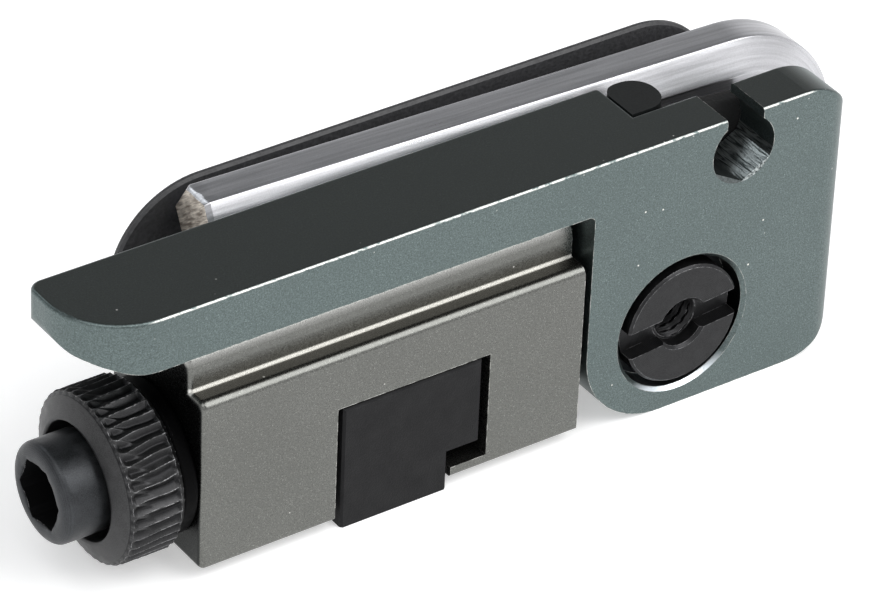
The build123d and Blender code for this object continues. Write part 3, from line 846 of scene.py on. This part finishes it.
NODE_FINISH = {
    "frame": finish_frame,
    "chain_block": finish_block,
    "pivot_nut": finish_nut,
    "pivot_screw": finish_washer,
    "pivot_thrust_washer": finish_plain,
    "pivot_wave_washer": finish_plain,
    "pivot_bush": finish_bronze,
    "press_pin": finish_pin,
    "pin_retainer": finish_washer,
    "ring_washer": finish_collar,
    "anvil_bush": finish_anvil,
    "slot_plug": finish_plug,
    "plug_magnet": finish_magnet,
    "key_post": finish_post,
    "key_carrier": finish_carrier,
    "key_magnet": finish_magnet,
    "carrier_screws": finish_washer,
}


def paint(piece, *finishes):
    piece.data.materials.clear()
    for finish in finishes:
        piece.data.materials.append(finish)


for node_name, finish in NODE_FINISH.items():
    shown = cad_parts[node_name]
    for material_slot in shown.material_slots:
        material_slot.material = finish
    if not shown.material_slots:
        shown.data.materials.append(finish)

ring = make_lock_ring()
paint(ring, finish_ring)
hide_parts("lock_ring")
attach(ring, "lock_ring_body")

screw = make_drive_screw()
paint(screw, finish_screw)
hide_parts("drive_screw")
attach(screw, "drive")

key = make_hex_key()
ends = [p.material_index for p in key.data.polygons]
paint(key, finish_bar, finish_sawn)
key.data.polygons.foreach_set("material_index", ends)
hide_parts("hex_key")
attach(key, "l_key")

thread = make_nut_thread()
paint(thread, finish_nut)
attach(thread, "tool_frame")


# =====================================================================
# studio
# =====================================================================
FLOOR_HALF = 3.0
FLOOR_DROP = 0.00002
FLOOR_GLOW = 0.40
LIGHT_AIM = Vector((-0.015, 0.0, 0.012))

CAMERA_LENS = 234.3113
CAMERA_SENSOR = 36.0
CAMERA_PLACE = Vector((-0.230277, -0.290024, 0.264931))
CAMERA_RIGHT = Vector((0.82648, -0.56177, 0.03681))
CAMERA_UP = Vector((0.29673, 0.49025, 0.81951))
CAMERA_BACK = Vector((-0.47842, -0.66638, 0.57188))


def floor_finish():
    f = Finish("floor_finish")
    tone = f.noise(160.0, detail=2.0)
    colour = f.blend(f.range(tone, 0.3, 0.7), (0.84, 0.84, 0.84), (0.87, 0.87, 0.87))
    f.shader.inputs["Emission Color"].default_value = (1.0, 1.0, 1.0, 1.0)
    f.shader.inputs["Emission Strength"].default_value = FLOOR_GLOW
    return f.finish(colour, 0.85, 0.0)


def make_floor():
    """Floor just under the tool, so that the two faces don't flicker."""
    half = FLOOR_HALF
    mesh = bpy.data.meshes.new("studio_floor")
    corners = [(-half, -half, 0), (half, -half, 0), (half, half, 0), (-half, half, 0)]
    mesh.from_pydata(corners, [], [(0, 1, 2, 3)])
    floor = bpy.data.objects.new("studio_floor", mesh)
    bpy.context.scene.collection.objects.link(floor)
    floor.location.z = -FLOOR_DROP
    floor.data.materials.append(floor_finish())


def soft_light(name, direction, distance, size, radiance, tint=(1, 1, 1)):
    """Rectangular softbox that looks at the tool from that direction."""
    light = bpy.data.lights.new(name, "AREA")
    light.shape = "RECTANGLE"
    light.size, light.size_y = size
    light.energy = radiance * math.pi * size[0] * size[1]
    light.color = tint
    lamp = bpy.data.objects.new(name, light)
    bpy.context.scene.collection.objects.link(lamp)
    away = Vector(direction).normalized()
    lamp.location = LIGHT_AIM + away * distance
    lamp.rotation_euler = away.to_track_quat("Z", "Y").to_euler()


def make_world():
    """Pale round the horizon, dim grey above it."""
    world = bpy.data.worlds.new("studio_world")
    bpy.context.scene.world = world
    world.use_nodes = True
    tree = world.node_tree
    tree.nodes.clear()
    out = tree.nodes.new("ShaderNodeOutputWorld")
    back = tree.nodes.new("ShaderNodeBackground")
    place = tree.nodes.new("ShaderNodeTexCoord")
    split = tree.nodes.new("ShaderNodeSeparateXYZ")
    ramp = tree.nodes.new("ShaderNodeValToRGB")
    tree.links.new(place.outputs["Generated"], split.inputs[0])
    tree.links.new(split.outputs["Z"], ramp.inputs[0])
    tree.links.new(ramp.outputs[0], back.inputs["Color"])
    tree.links.new(back.outputs[0], out.inputs["Surface"])
    ramp.color_ramp.elements[0].position = 0.30
    ramp.color_ramp.elements[0].color = (0.90, 0.90, 0.91, 1)
    ramp.color_ramp.elements[1].position = 0.46
    ramp.color_ramp.elements[1].color = (0.20, 0.205, 0.21, 1)


def make_camera():
    camera = bpy.data.cameras.new("main_camera")
    camera.lens = CAMERA_LENS
    camera.sensor_width = CAMERA_SENSOR
    camera.clip_start = 0.01
    camera.clip_end = 20.0
    turn = Matrix((CAMERA_RIGHT, CAMERA_UP, CAMERA_BACK)).transposed().to_4x4()
    holder = bpy.data.objects.new("main_camera", camera)
    bpy.context.scene.collection.objects.link(holder)
    holder.matrix_world = Matrix.Translation(CAMERA_PLACE) @ turn
    bpy.context.scene.camera = holder


make_floor()
make_world()
soft_light("key_softbox", (0.42, -0.54, 0.76), 0.75, (0.60, 0.58), 4.0)
soft_light("upper_left_softbox", (-0.50, -0.30, 0.80), 0.80, (0.60, 0.60), 2.0)
soft_light("rear_card", (-0.256, 0.666, 0.699), 0.70, (0.20, 0.20), 2.6, tint=(0.92, 0.97, 1.0))
make_camera()
bpy.context.scene.view_settings.view_transform = "Standard"
